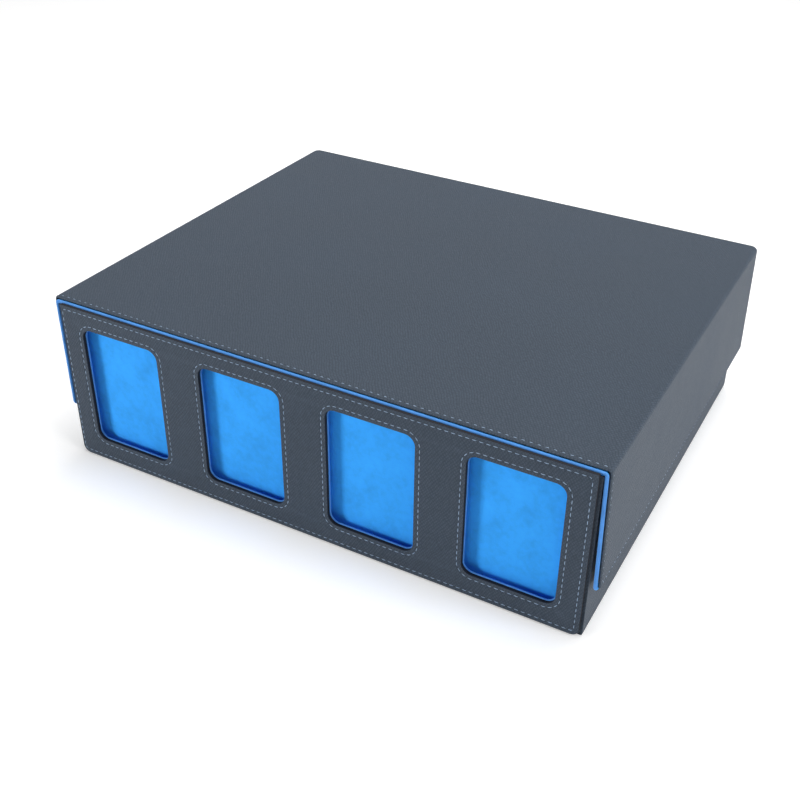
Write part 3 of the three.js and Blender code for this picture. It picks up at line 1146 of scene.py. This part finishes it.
def sew_lid():
    """The row behind the lid's free edges: over the top, down the side walls and round their foot."""
    sizes = bpy.context.scene.stitch_sizes
    lid = bpy.context.scene.lid_sizes
    lo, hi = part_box("lid_outer_skin")
    sunk = sizes.thread / 2
    front = lo.y + sizes.lid_margin
    foot = lo.z + sizes.lid_margin
    across = hi.x - lo.x - 2 * lid.fold_radius
    rise = hi.z - lid.fold_radius - foot
    straight_rows = {
        "lid_top_stitches": (across, (-across / 2, front, hi.z - sunk), (0, 0, 0)),
        "lid_left_stitches": (rise, (lo.x + sunk, front, foot), (0, -90, 0)),
        "lid_right_stitches": (rise, (hi.x - sunk, front, foot), (0, -90, 180)),
    }
    for name, (run, place, turn) in straight_rows.items():
        row = add_stitch(name)
        run_along(row, sizes.lid_pitch, None, run)
        set_row(row, place, turn, "lid")

    rear = hi.y - sunk
    outline = add_primitive("plane", "path", size=1)
    with editing(outline):
        select_all()
        size_and_move((hi.x - lo.x - 2 * sunk, rear - front, 1), (0, (rear + front) / 2, 0))
        bevel_corners(lid.corner_radius - sunk, CORNER_STEPS, lambda vert: vert.co.y > 0)
        pick("EDGE", lambda edge: within(edge, y=front))
        bpy.ops.mesh.delete(type="EDGE")
    row = add_stitch("lid_foot_stitches", outward=(0, -1, 0))
    run_along(row, sizes.lid_pitch, *path_of(outline))
    set_row(row, (0, 0, foot), (0, 0, 0), "lid")


# Studio


def place_camera():
    """A camera that sees the box from its front right, from above."""
    studio = bpy.context.scene.box_studio
    data = bpy.data.cameras.new("studio_camera")
    data.lens = studio.focal_length
    data.shift_x = studio.shift_x
    data.shift_y = studio.shift_y
    camera = bpy.data.objects.new("studio_camera", data)
    bpy.context.scene.collection.objects.link(camera)
    camera.matrix_world = (
        Matrix.Translation(studio.camera_place)
        @ Matrix.Rotation(studio.heading, 4, "Z")
        @ Matrix.Rotation(studio.tilt, 4, "X")
        @ Matrix.Rotation(studio.roll, 4, "Z")
    )
    bpy.context.scene.camera = camera


def add_lamp(name, place, size, power):
    """A square softbox that faces the box."""
    data = bpy.data.lights.new(name, "AREA")
    data.shape = "SQUARE"
    data.size = size
    data.energy = power
    lamp = bpy.data.objects.new(name, data)
    bpy.context.scene.collection.objects.link(lamp)
    lamp.location = place
    aim = Vector((0, 0, cad_box[1].z / 2)) - Vector(place)
    lamp.rotation_euler = aim.to_track_quat("-Z", "Y").to_euler()


def seen_directly(finish):
    """1 for rays that come straight from the camera, or by gloss or through glass."""
    rays = finish.node("LightPath").outputs
    straight = Value(finish, rays["Is Camera Ray"])
    mirrored = Value(finish, rays["Is Glossy Ray"])
    through = Value(finish, rays["Is Transmission Ray"])
    return straight.math("ADD", straight + mirrored, through, clamp=True)


def light_world():
    """A white background that is seen bright and lights the box softly."""
    scene = bpy.context.scene
    finish = Finish("studio", "worlds")
    scene.world = finish.owner
    soft = finish.output("Background", (WHITE, scene.box_studio.sky))
    bright = finish.output("Background", (WHITE, 1.0))
    finish.node("OutputWorld", (finish.output("MixShader", (seen_directly(finish), soft, bright)),))


def lay_floor():
    """A white floor that keeps the box's shadow."""
    scene = bpy.context.scene
    studio = scene.box_studio
    place = (0, 0, -studio.floor_drop)
    floor = add_primitive("plane", "studio_floor", size=studio.floor_size, location=place)
    finish = Finish("studio_floor")
    matt = finish.output("BsdfDiffuse", ((*scene.box_finishes.floor, 1),))
    glow = finish.output("Emission", (WHITE, seen_directly(finish) * studio.floor_glow))
    finish.node("OutputMaterial", (finish.output("AddShader", (matt, glow)),))
    floor.data.materials.append(finish.owner)


# Operators


class BuildStage(bpy.types.Operator):
    """Places the camera, the lamps, the white background and the floor"""

    bl_idname = "cardbox.build_stage"
    bl_label = "Build the stage"

    def execute(self, context):
        studio = context.scene.box_studio
        place_camera()
        context.scene.view_settings.view_transform = "Standard"
        light_world()
        lay_floor()
        add_lamp("key_lamp", studio.key_place, studio.key_size, studio.key_power)
        add_lamp("fill_lamp", studio.fill_place, studio.fill_size, studio.fill_power)
        add_lamp("top_lamp", studio.top_place, studio.top_size, studio.top_power)
        return {"FINISHED"}


class CoverLid(bpy.types.Operator):
    """Covers the lid in leather cloth"""

    bl_idname = "cardbox.cover_lid"
    bl_label = "Cover the lid"

    def execute(self, context):
        cover_lid()
        return {"FINISHED"}


class LineLid(bpy.types.Operator):
    """Lines the lid and turns the lining round its free edges"""

    bl_idname = "cardbox.line_lid"
    bl_label = "Line the lid"

    def execute(self, context):
        line_lid()
        return {"FINISHED"}


class CoverBase(bpy.types.Operator):
    """Covers the base and its underside"""

    bl_idname = "cardbox.cover_base"
    bl_label = "Cover the base"

    def execute(self, context):
        cover_base()
        finish_underside()
        return {"FINISHED"}


class LineBase(bpy.types.Operator):
    """Lines the base and its partitions"""

    bl_idname = "cardbox.line_base"
    bl_label = "Line the base"

    def execute(self, context):
        line_base()
        fit_partitions()
        return {"FINISHED"}


class BuildPanel(bpy.types.Operator):
    """Builds the front panel: cloth, painted board and blue backing"""

    bl_idname = "cardbox.build_panel"
    bl_label = "Build the front panel"

    def execute(self, context):
        cover_panel()
        paint_panel_board()
        back_panel()
        return {"FINISHED"}


class FitPockets(bpy.types.Operator):
    """Fits the pockets behind the windows"""

    bl_idname = "cardbox.fit_pockets"
    bl_label = "Fit the pockets"

    def execute(self, context):
        fit_pockets()
        return {"FINISHED"}


class FinishBoards(bpy.types.Operator):
    """Gives the boards inside the walls the look of greyboard"""

    bl_idname = "cardbox.finish_boards"
    bl_label = "Finish the boards"

    def execute(self, context):
        lean_lid_boards()
        finish_boards()
        return {"FINISHED"}


class SewPanel(bpy.types.Operator):
    """Sews the rows round the panel and its windows"""

    bl_idname = "cardbox.sew_panel"
    bl_label = "Sew the panel"

    def execute(self, context):
        sew_panel()
        return {"FINISHED"}


class SewLid(bpy.types.Operator):
    """Sews the rows on the lid"""

    bl_idname = "cardbox.sew_lid"
    bl_label = "Sew the lid"

    def execute(self, context):
        sew_lid()
        return {"FINISHED"}


OPERATORS = (
    BuildStage, CoverLid, LineLid, CoverBase, LineBase,
    BuildPanel, FitPockets, FinishBoards, SewPanel, SewLid,
)

GROUPS = {
    "lid_sizes": LidSizes,
    "base_sizes": BaseSizes,
    "panel_sizes": PanelSizes,
    "stitch_sizes": StitchSizes,
    "box_finishes": Finishes,
    "box_studio": StudioSettings,
}


class CardBoxPanel(bpy.types.Panel):
    """Lists the steps that build the box"""

    bl_idname = "VIEW3D_PT_card_box"
    bl_label = "Card Storage Box"
    bl_space_type = "VIEW_3D"
    bl_region_type = "UI"
    bl_category = "Card Box"

    def draw(self, context):
        for step in OPERATORS:
            self.layout.operator(step.bl_idname)


def register():
    for group in (*GROUPS.values(), *OPERATORS, CardBoxPanel):
        bpy.utils.register_class(group)
    for name, group in GROUPS.items():
        setattr(bpy.types.Scene, name, PointerProperty(type=group))


def unregister():
    for name in GROUPS:
        delattr(bpy.types.Scene, name)
    for group in (CardBoxPanel, *reversed(OPERATORS), *GROUPS.values()):
        bpy.utils.unregister_class(group)


def main():
    register()
    for step in OPERATORS:
        group, name = step.bl_idname.split(".")
        getattr(getattr(bpy.ops, group), name)()


if __name__ == "__main__":
    main()
